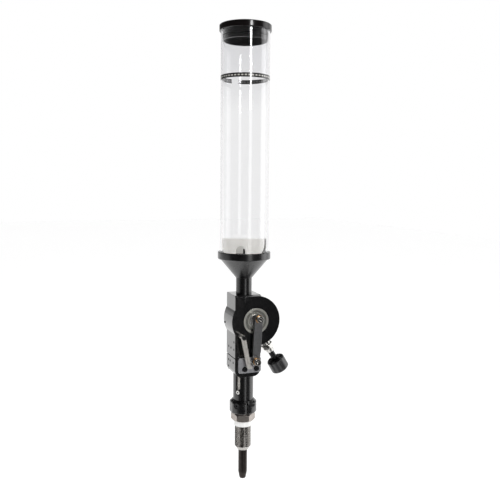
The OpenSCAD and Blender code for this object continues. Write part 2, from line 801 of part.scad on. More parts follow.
module adjuster_knob() {
    pocket_r = (knob_d / 2 - stem_r - 1.9) / 2;
    color("#2b2c2f") along_stem() translate([0, 0, knob_reach]) rotate([0, 0, knob_turned]) difference() {
        rotate_extrude() polygon([
            [stem_r + fit, 0], [knob_d / 2 - 1, 0], [knob_d / 2, 1],
            [knob_d / 2, knob_len - 1.8], [knob_d / 2 - 1.8, knob_len], [2, knob_len],
            [2, knob_len - 3], [1.6, knob_len - 3], [1.6, 6 + fit], [stem_r + fit, 6 + fit]
        ]);
        for (k = [0:knob_pockets - 1]) rotate([0, 0, 360 / knob_pockets * k])
            translate([knob_d / 2 - 0.95 - pocket_r, 0, -eps]) cylinder(r = pocket_r, h = 7 + eps);
        // Index line along the side
        rotate([0, 0, 180 - knob_turned]) translate([knob_d / 2 - 0.4, -0.4, 1])
            cube([2, 0.8, knob_len]);
    }
}

module knob_screw() {
    color("#101113") along_stem() translate([0, 0, knob_reach + knob_len - 0.2]) set_screw(1.55, 7, 1.5);
}

// ---- Stop link ----

module link_post() {
    color("gainsboro") translate([post_x, -half_depth - fit, post_z]) rotate([90, 0, 0]) difference() {
        union() {
            cylinder(r = post_r, h = link_y - half_depth - 2 * fit);
            translate([0, 0, -4.5]) cylinder(r = 2, h = 5);
        }
        translate([0, 0, link_y - half_depth - 8]) cylinder(r = 1.5 + fit, h = link_y);
    }
}

// Drum-frame places of the link's pivot and of the catch pin
link_pivot = [post_x - drum_x, post_z - drum_z];
catch_place = [for (v = [[cos(crank_lean), sin(crank_lean)], [-sin(crank_lean), cos(crank_lean)]])
    v * [catch_x, catch_y]];
link_end = catch_place + [-4.2, -3.6];
link_run = link_end - link_pivot;

module stop_link() {
    color("gainsboro") at_drum() translate([0, 0, link_y + 0.3]) difference() {
        union() {
            round_bar(link_pivot, link_end, link_w, link_t - 0.3);
            translate(link_pivot) cylinder(r = post_r, h = link_t - 0.3);
            round_bar(link_end, link_end + [3.4, -1.1], 2.6, link_t - 0.3);
        }
        translate([link_pivot[0], link_pivot[1], -eps]) cylinder(r = 1.5 + run, h = 2 * link_t);
        translate([catch_place[0], catch_place[1], -eps]) cylinder(r = catch_r + notch_gap, h = 2 * link_t);
        translate([catch_place[0], catch_place[1] - catch_r - notch_gap, -eps])
            cube([2 * link_w, 2 * (catch_r + notch_gap), 2 * link_t]);
        // Groove along the front
        translate([0, 0, link_t - 1])
            round_bar(link_pivot + 0.14 * link_run - [0.7, 0], link_pivot + 0.86 * link_run - [0.7, 0], 1.4, 2);
    }
}

module link_screw() {
    color("#141416") at_drum() translate([link_pivot[0], link_pivot[1], link_y + link_t + 0.3])
        cap_screw(post_r - 0.1, 2.8, 1.5, link_t + 7, 2.5);
}

// ---- Hopper ----

module hopper_base() {
    cone_r = tube_r + 0.3;
    neck_r = neck_d / 2;
    seat_r = tube_r + fit;
    color("#1b1c1f") difference() {
        rotate_extrude() polygon([
            [neck_bore_d / 2, housing_top - neck_seat + fit], [neck_r, housing_top - neck_seat + fit],
            [neck_r, cone_z], [neck_r + 0.3, cone_z], [cone_r, flange_z], [flange_d / 2 - 0.6, flange_z],
            [flange_d / 2, flange_z + 0.6], [flange_d / 2, flange_z + flange_h - 0.6],
            [flange_d / 2 - 0.6, flange_z + flange_h], [seat_r, flange_z + flange_h],
            [seat_r, tube_seat_z], [tube_in - 1, tube_seat_z], [tube_in - 2.5, flange_z + 1],
            [neck_bore_d / 2, cone_z + 3]
        ]);
        at_flange_screws() translate([0, 0, -5]) cylinder(r = 1.5 + fit, h = 6);
    }
}

module at_flange_screws() {
    for (k = [0:2]) rotate([0, 0, flange_screw_dir + 120 * k])
        translate([flange_d / 2, 0, flange_z + flange_h - 2.5]) rotate([0, 90, 0]) children();
}

module hopper_set_screws() {
    color("silver") at_flange_screws() translate([0, 0, -0.3])
        set_screw(1.5, flange_d / 2 - tube_r - 0.3 - fit, 1.5);
}

module tube_gasket() {
    color("#0c0c0d") translate([0, 0, tube_seat_z + 0.02]) ring(tube_r, tube_in - 0.4, tube_gasket_t - 0.04);
}

module hopper_tube() {
    color([0.9, 0.93, 0.96, 0.3]) translate([0, 0, tube_z]) ring(tube_r, tube_in, tube_len);
}

module level_band() {
    color("#0c0c0d") translate([0, 0, band_z]) rotate([0, 0, band_gap_dir + band_gap / 2])
        rotate_extrude(angle = 360 - band_gap) translate([tube_r + 0.02, 0]) square([0.23, band_h]);
}

// A folded sheet that takes the powder's weight off the funnel's throat
module baffle() {
    sheet_t = 0.8;
    run_y = 19;
    rise = 21.3;
    foot = tube_z + 0.3;
    notch_x = 4.8;
    color("whitesmoke") rotate([0, 0, baffle_dir]) difference() {
        intersection() {
            translate([-tube_r, 0, foot]) rotate([90, 0, 90]) linear_extrude(tube_d) polygon([
                [-run_y, 0], [0, rise], [run_y, 0], [run_y, sheet_t * 1.4], [0, rise + sheet_t * 1.4],
                [-run_y, sheet_t * 1.4]
            ]);
            translate([0, 0, foot - eps]) cylinder(r = tube_in - 0.3, h = rise + 10);
        }
        for (s = [-1, 1]) translate([s * notch_x, s * (run_y - 5.1), foot - eps]) {
            cylinder(r = 6.2, h = rise + 10);
            translate([-6.2, s < 0 ? -tube_r : 0, 0]) cube([12.4, tube_r, rise + 10]);
        }
    }
}

module hopper_cap() {
    skirt_r = tube_in - 0.15;
    groove_z = -skirt_len / 2;
    color("#17181a") translate([0, 0, tube_top + fit]) rotate_extrude() polygon([
        [0, cap_h], [cap_d / 2 - 0.7, cap_h], [cap_d / 2, cap_h - 0.7], [cap_d / 2, 0.6],
        [cap_d / 2 - 0.6, 0], [skirt_r, 0], [skirt_r, groove_z + 0.8], [skirt_r - 1.2, groove_z + 0.8],
        [skirt_r - 1.2, groove_z - 0.8], [skirt_r, groove_z - 0.8], [skirt_r, -skirt_len + 0.6],
        [skirt_r - 0.6, -skirt_len], [skirt_r - 2.2, -skirt_len], [skirt_r - 2.2, -2], [0, -2]
    ]);
}

module cap_seal() {
    color("#0c0c0d") translate([0, 0, tube_top + fit - skirt_len / 2])
        rotate_extrude() translate([tube_in - 0.75, 0]) circle(r = 0.6, $fn = 24);
}

die_body();
seat_ring();
lock_nut();
clamp_collar();
collar_screws();
guide_tube();
drop_sleeve();
guide_screw();
spout();
return_spring();
outlet_tube();
base_block();
block_side_screws();
tie_bolts();
front_plate();
plate_screws();
seam_gasket();
housing();
housing_side_screws();
rear_cover();
rear_cover_screws();
neck_screw();
bearing_outer(1);  // front_bearing_outer
bearing_inner(1);  // front_bearing_inner
bearing_balls(1);  // front_bearing_balls
bearing_cage(1);  // front_bearing_cage
bearing_outer(-1);  // rear_bearing_outer
bearing_inner(-1);  // rear_bearing_inner
bearing_balls(-1);  // rear_bearing_balls
bearing_cage(-1);  // rear_bearing_cage
rotor_drum();
drive_hub();
crank_arm();
arm_bush();
arm_screw();
drive_bush();
drive_pin();
catch_pin();
metering_gland();
metering_piston();
metering_stem();
adjuster_knob();
knob_screw();
link_post();
stop_link();
link_screw();
hopper_base();
hopper_set_screws();
tube_gasket();
hopper_tube();
level_band();
baffle();
hopper_cap();
cap_seal();
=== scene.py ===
"""Looks, light and camera for a rotary-drum powder measure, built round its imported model."""

import json
import logging
import math
from dataclasses import dataclass, field
from enum import Enum
from typing import Any, Iterable, Union

import bmesh
import bpy
from mathutils import Euler, Matrix, Vector


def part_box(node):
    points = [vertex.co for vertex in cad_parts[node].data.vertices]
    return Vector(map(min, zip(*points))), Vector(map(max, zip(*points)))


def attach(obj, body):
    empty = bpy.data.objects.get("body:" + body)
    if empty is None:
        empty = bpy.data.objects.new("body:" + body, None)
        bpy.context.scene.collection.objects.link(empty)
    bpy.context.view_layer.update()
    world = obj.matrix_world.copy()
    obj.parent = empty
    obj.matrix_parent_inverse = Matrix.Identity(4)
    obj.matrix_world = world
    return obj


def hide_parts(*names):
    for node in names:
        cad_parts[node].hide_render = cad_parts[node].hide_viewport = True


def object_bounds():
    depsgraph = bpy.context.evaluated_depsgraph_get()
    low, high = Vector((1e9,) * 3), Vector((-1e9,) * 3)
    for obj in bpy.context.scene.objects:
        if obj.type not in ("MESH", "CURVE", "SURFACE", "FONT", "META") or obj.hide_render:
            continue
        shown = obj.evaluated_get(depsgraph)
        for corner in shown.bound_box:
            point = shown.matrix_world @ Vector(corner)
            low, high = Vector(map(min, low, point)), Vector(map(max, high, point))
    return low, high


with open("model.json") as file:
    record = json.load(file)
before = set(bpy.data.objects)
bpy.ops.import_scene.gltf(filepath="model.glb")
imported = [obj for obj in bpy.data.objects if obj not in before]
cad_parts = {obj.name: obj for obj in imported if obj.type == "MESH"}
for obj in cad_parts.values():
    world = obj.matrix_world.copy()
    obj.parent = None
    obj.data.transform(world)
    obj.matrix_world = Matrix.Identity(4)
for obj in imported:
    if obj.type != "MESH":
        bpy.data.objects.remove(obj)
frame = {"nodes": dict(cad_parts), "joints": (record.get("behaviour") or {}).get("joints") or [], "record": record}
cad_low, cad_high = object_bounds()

LOG = logging.getLogger("powder_measure")
MM = 0.001
NODES: dict[str, bpy.types.Object] = frame["nodes"]
BODY_OF: dict[str, str] = {
    node: body
    for body, members in frame["record"]["behaviour"]["bodies"].items()
    for node in members
}
JOINT_OF: dict[str, dict[str, Any]] = {joint["name"]: joint for joint in frame["joints"]}
DRUM_AXIS = Vector(JOINT_OF["rotor_turn"]["pos_m"])
STEM_AXIS = Vector(JOINT_OF["metering_feed"]["axis"]).normalized()
DOWN_THE_GRAIN = 0.02  # stretch of the noise that draws straight tool marks
WELD = 1e-6  # points closer than this are one point, in metres
NOISE_FINENESS = 0.55  # weight of the finer octaves in noise
LINE_FINENESS = 0.6  # weight of the finer octaves in tool marks
LINE_OCTAVES = 2.0


# ---------------------------------------------------------------- shader maths


class Wire:
    """A number socket that adds its own Math nodes when it is used in an expression."""

    def __init__(self, graph: "Graph", socket: bpy.types.NodeSocket) -> None:
        """Wraps a socket.

        Args:
            graph: the material graph that new nodes go into.
            socket: the output socket to wrap.
        """
        self.graph = graph
        self.socket = socket

    def _with(self, operation: str, *terms: Any) -> "Wire":
        """Adds one Math node.

        Args:
            operation: the Math node's operation.
            *terms: numbers or wires, in the order of the node's inputs.

        Returns:
            The node's result.
        """
        made = self.graph.node(
            "ShaderNodeMath", {"operation": operation}, dict(enumerate(terms))
        )
        return Wire(self.graph, made.outputs[0])

    def __add__(self, other: Any) -> "Wire":
        """Adds a number or wire."""
        return self._with("ADD", self, other)

    __radd__ = __add__

    def __sub__(self, other: Any) -> "Wire":
        """Subtracts a number or wire."""
        return self._with("SUBTRACT", self, other)

    def __rsub__(self, other: Any) -> "Wire":
        """Subtracts this wire from a number."""
        return self._with("SUBTRACT", other, self)

    def __mul__(self, other: Any) -> "Wire":
        """Multiplies by a number or wire."""
        return self._with("MULTIPLY", self, other)

    __rmul__ = __mul__

    def __gt__(self, other: Any) -> "Wire":
        """Gives 1 where this wire is the larger, and 0 elsewhere."""
        return self._with("GREATER_THAN", self, other)

    def __lt__(self, other: Any) -> "Wire":
        """Gives 1 where this wire is the smaller, and 0 elsewhere."""
        return self._with("LESS_THAN", self, other)

    def fraction(self) -> "Wire":
        """Gives the part after the decimal point."""
        return self._with("FRACT", self)

    def size(self) -> "Wire":
        """Gives the absolute value."""
        return self._with("ABSOLUTE", self)

    def angle_from(self, other: "Wire") -> "Wire":
        """Gives the angle of the point (other, self), in radians."""
        return self._with("ARCTAN2", self, other)


Term = Union[float, int, Wire, bpy.types.NodeSocket]


class Graph:
    """The node graph of one material."""

    def __init__(self, name: str) -> None:
        """Starts a material with one surface shader.

        Args:
            name: the material's name.
        """
        self.material = bpy.data.materials.new(name)
        self.material.use_nodes = True
        self.tree = self.material.node_tree
        self.tree.nodes.clear()
        self.output = self.node("ShaderNodeOutputMaterial")
        self.surface = self.node("ShaderNodeBsdfPrincipled")
        self.tree.links.new(self.surface.outputs[0], self.output.inputs["Surface"])

    def node(
        self,
        kind: str,
        settings: dict[str, Any] | None = None,
        inputs: dict[Any, Any] | None = None,
    ) -> bpy.types.Node:
        """Adds a node.

        Args:
            kind: the node's type.
            settings: properties to set first. A ramp's stops are given as "stops".
            inputs: values or links by socket name or number.

        Returns:
            The new node.
        """
        made = self.tree.nodes.new(kind)
        for key, value in (settings or {}).items():
            if key == "stops":
                self._set_stops(made.color_ramp, value)
            else:
                setattr(made, key, value)
        for key, value in (inputs or {}).items():
            self.feed(made.inputs[key], value)
        return made

    @staticmethod
    def _set_stops(ramp: bpy.types.ColorRamp, stops: list[tuple[float, Any]]) -> None:
        """Sets a colour ramp's stops.

        Args:
            ramp: the ramp to set.
            stops: position and grey value or colour of each stop.
        """
        while len(ramp.elements) < len(stops):
            ramp.elements.new(1.0)
        for element, (place, shade) in zip(ramp.elements, stops):
            element.position = place
            colour = (shade,) * 3 if isinstance(shade, (int, float)) else shade
            element.color = (*colour, 1.0)

    def feed(self, socket: bpy.types.NodeSocket, value: Any) -> None:
        """Links or sets one input socket.

        Args:
            socket: the input socket.
            value: a wire, an output socket, or a plain value.
        """
        if isinstance(value, Wire):
            self.tree.links.new(value.socket, socket)
        elif isinstance(value, bpy.types.NodeSocket):
            self.tree.links.new(value, socket)
        elif socket.type == "RGBA" and len(value) == 3:
            socket.default_value = (*value, 1.0)
        else:
            socket.default_value = value

    def place(
        self,
        centre: Iterable[float] = (0, 0, 0),
        turn: Iterable[float] = (0, 0, 0),
        stretch: Iterable[float] = (1, 1, 1),
    ) -> bpy.types.NodeSocket:
        """Gives the position on the object, moved, turned and stretched.

        Args:
            centre: the point that becomes the origin, in metres.
            turn: Euler angles of the turn, in radians.
            stretch: scale of each axis after the turn.

        Returns:
            A vector socket.
        """
        back = Euler(turn).to_matrix().to_4x4()
        spot = -(back @ Vector(centre))
        coords = self.node("ShaderNodeTexCoord").outputs["Object"]
        moved = self.node(
            "ShaderNodeMapping",
            {"vector_type": "POINT"},
            {"Vector": coords, "Location": spot, "Rotation": tuple(turn)},
        ).outputs[0]
        return self.node(
            "ShaderNodeMapping",
            {"vector_type": "POINT"},
            {"Vector": moved, "Scale": tuple(stretch)},
        ).outputs[0]

    def split(self, vector: bpy.types.NodeSocket) -> tuple[Wire, Wire, Wire]:
        """Splits a vector into its three numbers."""
        parts = self.node("ShaderNodeSeparateXYZ", {}, {0: vector}).outputs
        return Wire(self, parts[0]), Wire(self, parts[1]), Wire(self, parts[2])

    def reach(self, first: Wire, second: Wire) -> Wire:
        """Gives the distance from an axis, out of the two coordinates across it."""
        flat = self.node("ShaderNodeCombineXYZ", {}, {0: first, 1: second}).outputs[0]
        made = self.node("ShaderNodeVectorMath", {"operation": "LENGTH"}, {0: flat})
        return Wire(self, made.outputs["Value"])

    def noise(self, vector: bpy.types.NodeSocket, scale: float, detail: float = 3.0) -> Wire:
        """Adds noise over a position.

        Args:
            vector: where to read it.
            scale: cells per metre.
            detail: number of octaves.

        Returns:
            A number near 0.5.
        """
        made = self.node(
            "ShaderNodeTexNoise",
            {"noise_dimensions": "3D"},
            {"Vector": vector, "Scale": scale, "Detail": detail, "Roughness": NOISE_FINENESS},
        )
        return Wire(self, made.outputs[0])

    def lines(self, along: Wire, pitch: float) -> Wire:
        """Adds irregular fine lines across a direction.

        Args:
            along: distance along that direction, in metres.
            pitch: mean spacing of the lines, in metres.

        Returns:
            A number near 0.5.
        """
        made = self.node(
            "ShaderNodeTexNoise",
            {"noise_dimensions": "1D"},
            {
                "W": along * (1.0 / pitch),
                "Scale": 1.0,
                "Detail": LINE_OCTAVES,
                "Roughness": LINE_FINENESS,
            },
        )
        return Wire(self, made.outputs[0])

    def ramp(self, value: Term, stops: list[tuple[float, Any]]) -> bpy.types.NodeSocket:
        """Maps a number through a colour ramp."""
        return self.node("ShaderNodeValToRGB", {"stops": stops}, {0: value}).outputs[0]

    def blend(self, share: Term, first: Any, second: Any) -> bpy.types.NodeSocket:
        """Mixes two colours.

        Args:
            share: 0 for the first colour, 1 for the second.
            first: a colour or socket.
            second: a colour or socket.

        Returns:
            The mixed colour.
        """
        made = self.node("ShaderNodeMix", {"data_type": "RGBA"})
        self.feed(made.inputs[0], share)
        self.feed(made.inputs[6], first)
        self.feed(made.inputs[7], second)
        return made.outputs[2]

    def relief(self, height: Term, depth: float) -> bpy.types.NodeSocket:
        """Turns a height into a surface normal.

        Args:
            height: a number from 0 to 1.
            depth: what a height of 1 stands for, in metres.

        Returns:
            A normal socket.
        """
        made = self.node(
            "ShaderNodeBump",
            {},
            {"Height": height, "Distance": depth, "Strength": 1.0},
        )
        return made.outputs[0]

    def dress(self, **sockets: Any) -> bpy.types.Material:
        """Feeds the surface shader.

        Args:
            **sockets: socket names with underscores for spaces, and their values.

        Returns:
            The finished material.
        """
        for name, value in sockets.items():
            self.feed(self.surface.inputs[name.replace("_", " ")], value)
        return self.material


class SurroundGraph(Graph):
    """The node graph of the surround that lights and backs the scene."""

    def __init__(self, name: str) -> None:
        """Starts a surround with one background.

        Args:
            name: the surround's name.
        """
        self.world = bpy.data.worlds.new(name)
        self.world.use_nodes = True
        self.tree = self.world.node_tree
        self.tree.nodes.clear()
        self.output = self.node("ShaderNodeOutputWorld")
        self.surface = self.node("ShaderNodeBackground")
        self.tree.links.new(self.surface.outputs[0], self.output.inputs["Surface"])

    def direction(self) -> bpy.types.NodeSocket:
        """Gives the direction that is looked in."""
        return self.node("ShaderNodeTexCoord").outputs["Generated"]

    def towards(self, direction: bpy.types.NodeSocket, aim: Iterable[float]) -> Wire:
        """Gives 1 where a direction points along another, and 0 where it points away.

        Args:
            direction: the direction to test.
            aim: the direction to compare with.

        Returns:
            A number from 0 to 1.
        """
        made = self.node(
            "ShaderNodeVectorMath", {"operation": "DOT_PRODUCT"}, {0: direction, 1: tuple(aim)}
        )
        return Wire(self, made.outputs["Value"]) * 0.5 + 0.5

    def ray(self, kind: str) -> Wire:
        """Gives 1 for one kind of light ray, and 0 for the others.

        Args:
            kind: "Camera", "Glossy", "Diffuse" or "Transmission".

        Returns:
            The number.
        """
        return Wire(self, self.node("ShaderNodeLightPath").outputs[f"Is {kind} Ray"])


# --------------------------------------------------------------------- finishes


class Lay(Enum):
    """The direction in which a machined surface's fine lines run."""

    AROUND_POWDER_AXIS = "rings round the vertical axis"
    AROUND_DRUM_AXIS = "rings round the drum axis"
    AROUND_STEM = "rings round the metering stem"
    ALONG_HEIGHT = "straight lines along Z"
    NONE = "no lines"


def lay_lines(graph: Graph, lay: Lay, pitch: float) -> Wire:
    """Adds a surface's tool marks.

    Args:
        graph: the material graph.
        lay: how the marks run.
        pitch: their mean spacing, in metres.

    Returns:
        A number near 0.5.
    """
    if lay is Lay.AROUND_POWDER_AXIS:
        x, y, z = graph.split(graph.place())
        return graph.lines(z + graph.reach(x, y), pitch)
    if lay is Lay.AROUND_DRUM_AXIS:
        x, y, z = graph.split(graph.place(centre=DRUM_AXIS))
        return graph.lines(graph.reach(x, z) + y, pitch)
    if lay is Lay.AROUND_STEM:
        tilt = math.atan2(STEM_AXIS.x, -STEM_AXIS.z)
        x, y, z = graph.split(graph.place(centre=DRUM_AXIS, turn=(0, tilt, 0)))
        return graph.lines(z + graph.reach(x, y), pitch)
    stretch = (1.0, 1.0, DOWN_THE_GRAIN) if lay is Lay.ALONG_HEIGHT else (1.0, 1.0, 1.0)
    return graph.noise(graph.place(stretch=stretch), 1.0 / pitch, 2.0)


@dataclass(frozen=True)
class Machined:
    """Bare or plated metal with tool marks and light handling marks."""

    name: str
    colour: tuple[float, float, float]
    shade: tuple[float, float, float]
    roughness: float
    lay: Lay = Lay.NONE
    pitch: float = 0.00025
    depth: float = 0.000004
    swing: float = 0.12
    smudges_per_metre: float = 260.0

    def make(self) -> bpy.types.Material:
        """Builds the material."""
        graph = Graph(self.name)
        marks = lay_lines(graph, self.lay, self.pitch)
        smudge = graph.noise(graph.place(), self.smudges_per_metre, 4.0)
        rough = self.roughness + (smudge - 0.5) * self.swing + (marks - 0.5) * self.swing
        patches = graph.ramp(smudge, [(0.35, 0.0), (0.7, 1.0)])
        return graph.dress(
            Base_Color=graph.blend(patches, self.colour, self.shade),
            Metallic=1.0,
            Roughness=rough,
            Normal=graph.relief(marks, self.depth),
        )


@dataclass(frozen=True)
class Anodised:
    """Black anodised aluminium: a dark body under a sealed oxide skin that shines at a slant."""

    name: str
    colour: tuple[float, float, float]
    shade: tuple[float, float, float]
    roughness: float
    lay: Lay = Lay.NONE
    pitch: float = 0.0004
    depth: float = 0.000002
    skin: float = 0.8
    skin_roughness: float = 0.1
    refraction: float = 1.6
    grains_per_metre: float = 9000.0
    clouds_per_metre: float = 120.0

    def make(self) -> bpy.types.Material:
        """Builds the material."""
        graph = Graph(self.name)
        marks = lay_lines(graph, self.lay, self.pitch)
        grain = graph.noise(graph.place(), self.grains_per_metre, 2.0)
        cloud = graph.noise(graph.place(), self.clouds_per_metre, 4.0)
        tone = graph.blend(graph.ramp(cloud, [(0.3, 0.0), (0.75, 1.0)]), self.colour, self.shade)
        height = marks * 0.6 + grain * 0.4
        return graph.dress(
            Base_Color=tone,
            Metallic=0.0,
            IOR=self.refraction,
            Roughness=self.roughness + (cloud - 0.5) * 0.1 + (marks - 0.5) * 0.08,
            Coat_Weight=self.skin,
            Coat_Roughness=self.skin_roughness,
            Normal=graph.relief(height, self.depth),
        )


@dataclass(frozen=True)
class Moulded:
    """Moulded plastic or rubber."""

    name: str
    colour: tuple[float, float, float]
    shade: tuple[float, float, float]
    roughness: float
    grain: float = 0.000004
    coat: float = 0.0
    coat_roughness: float = 0.06
    grains_per_metre: float = 5000.0
    clouds_per_metre: float = 150.0

    def make(self) -> bpy.types.Material:
        """Builds the material."""
        graph = Graph(self.name)
        grain = graph.noise(graph.place(), self.grains_per_metre)
        cloud = graph.noise(graph.place(), self.clouds_per_metre)
        return graph.dress(
            Base_Color=graph.blend(cloud, self.colour, self.shade),
            Metallic=0.0,
            Roughness=self.roughness + (cloud - 0.5) * 0.12,
            Coat_Weight=self.coat,
            Coat_Roughness=self.coat_roughness,
            Normal=graph.relief(grain, self.grain),
        )


@dataclass(frozen=True)
class Sheet:
    """Thin cream sheet with a painted glow and painted shade along the right half of its rim."""

    name: str
    colour: tuple[float, float, float]
    shade: tuple[float, float, float]
    rim: float
    # colour of the painted shade along the right half of the rim
    rim_shade_colour: tuple[float, float, float] = (0.05, 0.045, 0.04)
    # strength of the painted glow: emission standing in for the light the sheet catches
    glow: float = 0.35

    def make(self) -> bpy.types.Material:
        """Builds the material."""
        graph = Graph(self.name)
        x, y, _ = graph.split(graph.place())
        # painted shade: beyond the rim radius, on the right half only, the sheet turns dark in place of a folded
        # lip's shading
        cut = (graph.reach(x, y) > self.rim) * (x > 0.0)
        cloud = graph.noise(graph.place(stretch=(1.0, 0.2, 1.0)), 300.0, 3.0)
        face = graph.blend(cloud, self.colour, self.shade)
        return graph.dress(
            Base_Color=graph.blend(cut, face, self.rim_shade_colour),
            Metallic=0.0,
            Roughness=0.45 + (cloud - 0.5) * 0.2,
            # painted glow: the sheet emits its own colour, except on the painted shade rim
            Emission_Color=graph.blend(cut, face, (0.0, 0.0, 0.0)),
            Emission_Strength=self.glow,
            Normal=graph.relief(cloud, 0.00001),
        )


@dataclass(frozen=True)
class Acrylic:
    """Clear extruded acrylic with a few rub marks, tinted greyer towards its top."""

    name: str
    colour: tuple[float, float, float]
    grey_tint: tuple[float, float, float]
    greying_start: float
    fade: float = 60.0 * MM
    refraction: float = 1.49

    def make(self) -> bpy.types.Material:
        """Builds the material."""
        graph = Graph(self.name)
        rub = graph.noise(graph.place(stretch=(1.0, 1.0, 0.15)), 700.0, 4.0)
        grey_tint = graph.noise(graph.place(), 40.0, 2.0)
        _, _, z = graph.split(graph.place())
        # the base colour grows greyer with height above the start height, over the fade length
        height = (z - self.greying_start) * (1.0 / self.fade)
        greying = Wire(graph, graph.ramp(height, [(0.0, 0.15), (1.0, 1.0)])) * (grey_tint * 0.4 + 0.8)
        return graph.dress(
            Base_Color=graph.blend(greying, self.colour, self.grey_tint),
            Metallic=0.0,
            Transmission_Weight=1.0,
            IOR=self.refraction,
            Roughness=graph.ramp(rub, [(0.5, 0.0), (0.85, 0.05)]),
        )


@dataclass(frozen=True)
class BandPrint:
    """A black band with plain light dashes along its middle."""

    name: str
    low: float
    high: float
    dashes: int = 44
    gap_share: float = 0.45
    dash_half_height: float = 0.14

    def make(self) -> bpy.types.Material:
        """Builds the material."""
        graph = Graph(self.name)
        x, y, z = graph.split(graph.place())
        turn = y.angle_from(x) * (self.dashes / math.tau)
        along = turn.fraction() > self.gap_share
        middle = (self.low + self.high) / 2
        across = self.dash_half_height * (self.high - self.low) > (z - middle).size()
        grain = graph.noise(graph.place(), 2500.0, 3.0)
        return graph.dress(
            Base_Color=graph.blend(along * across, (0.008, 0.008, 0.008), (0.5, 0.49, 0.46)),
            Metallic=0.0,
            Roughness=0.3 + grain * 0.1,
            Coat_Weight=1.0,
            Coat_Roughness=0.08,
            Normal=graph.relief(grain, 0.000004),
        )


class Finishes:
    """Makes each finish once and hands it out by name."""

    def __init__(self) -> None:
        """Sets up the finishes of this object."""
        band_low, band_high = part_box("level_band")
        black, grey = (0.0025, 0.0025, 0.003), (0.005, 0.005, 0.0055)
        steel, dull = (0.66, 0.65, 0.63), (0.55, 0.54, 0.52)
        self._plans: dict[str, Any] = {
            plan.name: plan
            for plan in (
                Anodised("black_case", black, grey, 0.17, Lay.ALONG_HEIGHT),
                Anodised(
                    "black_turned", black, grey, 0.28, Lay.AROUND_POWDER_AXIS, skin=0.4,
                    skin_roughness=0.2,
                ),
                Anodised(
                    "black_knob", (0.012, 0.012, 0.013), (0.02, 0.02, 0.021), 0.35,
                    Lay.AROUND_STEM, skin=0.3,
                ),
                Machined(
                    "grey_plate", (0.5, 0.5, 0.52), (0.42, 0.42, 0.44), 0.46, Lay.ALONG_HEIGHT,
                ),
                Machined("turned_steel", steel, dull, 0.24, Lay.AROUND_POWDER_AXIS),
                Machined(
                    "thread_steel", (0.5, 0.485, 0.465), (0.4, 0.385, 0.365), 0.27,
                    Lay.AROUND_POWDER_AXIS,
                ),
                Machined("nut_steel", (0.5, 0.46, 0.43), (0.4, 0.36, 0.33), 0.42),
                Moulded("bright_plate", (0.78, 0.78, 0.77), (0.7, 0.7, 0.69), 0.3, coat=0.4),
                Machined(
                    "bearing_steel", (0.74, 0.73, 0.67), (0.6, 0.59, 0.54), 0.33,
                    Lay.AROUND_DRUM_AXIS,
                ),
                Machined("ball_steel", (0.8, 0.8, 0.8), (0.75, 0.75, 0.75), 0.06),
                Machined(
                    "sleeve_satin", (0.84, 0.81, 0.76), (0.74, 0.71, 0.66), 0.5,
                    Lay.AROUND_POWDER_AXIS,
                ),
                Machined("drum_steel", steel, dull, 0.26, Lay.AROUND_DRUM_AXIS),
                Machined("stem_steel", steel, dull, 0.22, Lay.AROUND_STEM),
                Machined(
                    "ground_bar", (0.84, 0.81, 0.77), (0.7, 0.67, 0.63), 0.44,
                    Lay.ALONG_HEIGHT,
                ),
                Machined(
                    "satin_arm", (0.22, 0.22, 0.225), (0.17, 0.17, 0.175), 0.42,
                    Lay.ALONG_HEIGHT,
                ),
                Machined(
                    "bronze", (0.62, 0.36, 0.16), (0.45, 0.24, 0.1), 0.3, Lay.AROUND_DRUM_AXIS,
                ),
                Machined("cage_steel", (0.36, 0.36, 0.33), (0.28, 0.28, 0.25), 0.35),
                Machined(
                    "blued_steel", (0.06, 0.052, 0.049), (0.04, 0.034, 0.032), 0.42,
                    Lay.AROUND_POWDER_AXIS,
                ),
                Machined("black_oxide", (0.05, 0.05, 0.052), (0.03, 0.03, 0.032), 0.3),
                Machined("bright_screw", (0.7, 0.69, 0.67), (0.55, 0.54, 0.52), 0.16),
                Machined("spring_wire", (0.55, 0.55, 0.54), (0.42, 0.42, 0.41), 0.28),
                # the baffle's sheet: painted glow, and painted shade along the right half of its rim
                Sheet("folded_sheet", (0.97, 0.955, 0.92), (0.95, 0.93, 0.88), 27.2 * MM),
                Moulded(
                    "gloss_cap", (0.004, 0.003, 0.003), (0.006, 0.005, 0.005), 0.16,
                    grain=0.0000005,
                ),
                Moulded("rubber", (0.006, 0.006, 0.006), (0.01, 0.01, 0.01), 0.8),
                Acrylic(
                    "clear_acrylic", (0.99, 0.99, 0.992), (0.89, 0.89, 0.9),
                    band_low.z - 40 * MM,
                ),
                BandPrint("band_print", band_low.z, band_high.z),
            )
        }
        self._made: dict[str, bpy.types.Material] = {}

    def get(self, name: str) -> bpy.types.Material:
        """Gives a finish's material, and makes it the first time."""
        if name not in self._made:
            self._made[name] = self._plans[name].make()
        return self._made[name]


# ----------------------------------------------------------------------- pieces


def dressed(obj: bpy.types.Object, material: bpy.types.Material) -> bpy.types.Object:
    """Gives an object one material.

    Args:
        obj: the object.
        material: its material.

    Returns:
        The same object.
    """
    obj.data.materials.clear()
    obj.data.materials.append(material)
    for face in obj.data.polygons:
        face.material_index = 0
    return obj


def to_object(work: bmesh.types.BMesh, name: str) -> bpy.types.Object:
    """Turns a bmesh into a smooth-shaded object at the origin.

    Args:
        work: the bmesh, which is freed.
        name: the object's name.

    Returns:
        The new object.
    """
    mesh = bpy.data.meshes.new(name)
    for face in work.faces:
        face.smooth = True
    work.to_mesh(mesh)
    work.free()
    obj = bpy.data.objects.new(name, mesh)
    bpy.context.scene.collection.objects.link(obj)
    return obj


